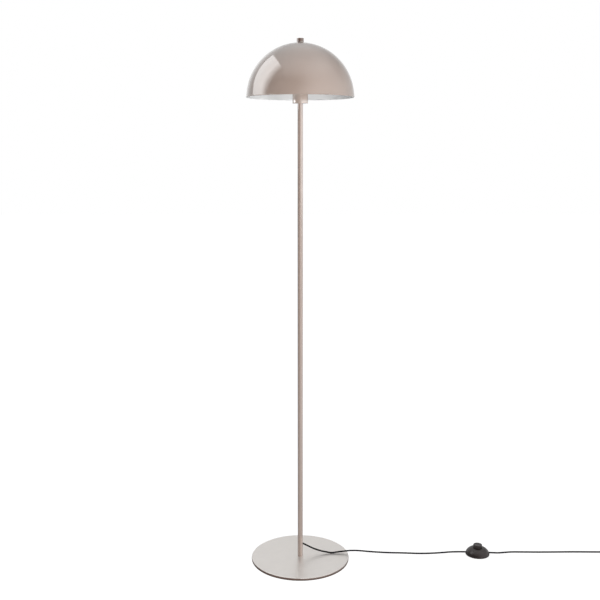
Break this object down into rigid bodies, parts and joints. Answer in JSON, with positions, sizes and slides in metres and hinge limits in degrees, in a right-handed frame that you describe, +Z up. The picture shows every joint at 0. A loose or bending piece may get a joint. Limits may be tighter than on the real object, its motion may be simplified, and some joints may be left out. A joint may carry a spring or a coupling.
{
  "type": "mushroom floor lamp",
  "caption": "Floor lamp with a round steel foot, a slim three-section pole, a domed metal shade held over the bulb by a bracket, and a black cord with a foot switch and a flat plug.",
  "frame": {"origin": "on the floor, under the middle of the round base", "axes": "+Z up along the pole, +X to the lamp's right, towards the foot switch and the plug, -Y to the front"},
  "size_m": [1.145, 0.297, 1.4985],
  "materials": {
    "greige_metal": "satin powder coat, warm greige",
    "shade_paint": "smooth semi-gloss greige outside, matt white inside",
    "white_metal": "matt white",
    "steel": "zinc plated",
    "bronze": "muted satin bronze",
    "pale_nylon": "natural nylon",
    "brass": "stamped brass",
    "nickel": "nickel plated",
    "black_plastic": "moulded satin black",
    "black_cord": "smooth cord sheath",
    "black_rubber": "matt",
    "wire": "brown and blue insulation",
    "bulb_white": "white moulded",
    "opal": "opal diffuser"
  },
  "bodies": {
    "lamp": {"base_plate": "greige_metal", "pole_lower": "greige_metal", "pole_middle": "greige_metal", "pole_upper": "greige_metal", "holder_cup": "greige_metal", "shade_bracket": "white_metal", "base_screw": "steel", "pole_foot_bush": "steel", "pole_joint_sockets": "steel", "pole_joint_studs": "steel", "pole_head_bush": "steel", "head_nipple": "steel", "lock_washer": "steel", "lock_nut": "steel", "bracket_stud": "steel", "holder_terminal_screws": "steel", "switch_spring": "steel", "switch_case_screws": "steel", "switch_clamp_screws": "steel", "switch_terminal_screws": "steel", "holder_screw_shell": "brass", "holder_centre_contact": "brass", "holder_side_contact": "brass", "holder_terminals": "brass", "switch_terminals": "brass", "switch_contacts": "brass", "plug_pins": "nickel", "holder_cap": "black_plastic", "holder_body": "black_plastic", "switch_base": "black_plastic", "switch_cover": "black_plastic", "switch_cord_clamps": "black_plastic", "plug_body": "black_plastic", "plug_relief": "black_plastic", "plug_pin_sleeves": "black_plastic", "cord_in_pole": "black_cord", "cord_to_switch": "black_cord", "cord_to_plug": "black_cord", "cord_coil": "black_cord", "cord_tail": "black_cord", "switch_cord_ends": "black_cord", "base_pad": "black_rubber", "cord_grommet": "black_rubber", "switch_feet": "black_rubber", "holder_wires": "wire", "switch_wires": "wire"},
    "foot_button": {"switch_button": "black_plastic"},
    "switch_cam": {"switch_rotor": "pale_nylon", "switch_rotor_contact": "brass"},
    "shade": {"shade": "shade_paint"},
    "finial_washer": {"shade_washer": "pale_nylon"},
    "finial": {"finial": "bronze"},
    "bulb_tip": {"bulb_tip": "nickel"},
    "bulb": {"bulb_insulator": "black_plastic", "bulb_cap": "nickel", "bulb_collar": "bulb_white", "bulb_globe": "opal", "bulb_led_board": "bulb_white"}
  },
  "joints": [
    {"name": "button_press", "type": "slide", "parent": "lamp", "child": "foot_button", "axis": [0, 0, -1], "range_m": [0, 0.0035], "stiffness_N_per_m": 900, "springref_m": -0.004, "deforming": ["switch_spring"]},
    {"name": "cam_turn", "type": "hinge", "parent": "lamp", "child": "switch_cam", "pos_m": [0.5335, 0.0245, 0.006], "axis": [0, 0, 1], "range_deg": [0, 45]},
    {"name": "shade_lift", "type": "slide", "parent": "lamp", "child": "shade", "axis": [0, 0, 1], "range_m": [0, 0.2]},
    {"name": "finial_rise", "type": "slide", "parent": "shade", "child": "finial_washer", "axis": [0, 0, 1], "range_m": [0, 0.00801]},
    {"name": "finial_turn", "type": "hinge", "parent": "finial_washer", "child": "finial", "pos_m": [0, 0, 1.4883], "axis": [0, 0, 1], "range_deg": [0, 2880]},
    {"name": "bulb_rise", "type": "slide", "parent": "lamp", "child": "bulb_tip", "axis": [0, 0, 1], "range_m": [0, 0.0109]},
    {"name": "bulb_turn", "type": "hinge", "parent": "bulb_tip", "child": "bulb", "pos_m": [0, 0, 1.36], "axis": [0, 0, 1], "range_deg": [0, 1080]}
  ],
  "couplings": [
    {"joint": "cam_turn", "follows": "button_press", "rad_per_m": 224.39},
    {"joint": "finial_rise", "follows": "finial_turn", "m_per_rad": 0.00015915},
    {"joint": "bulb_rise", "follows": "bulb_turn", "m_per_rad": 0.00057757}
  ]
}
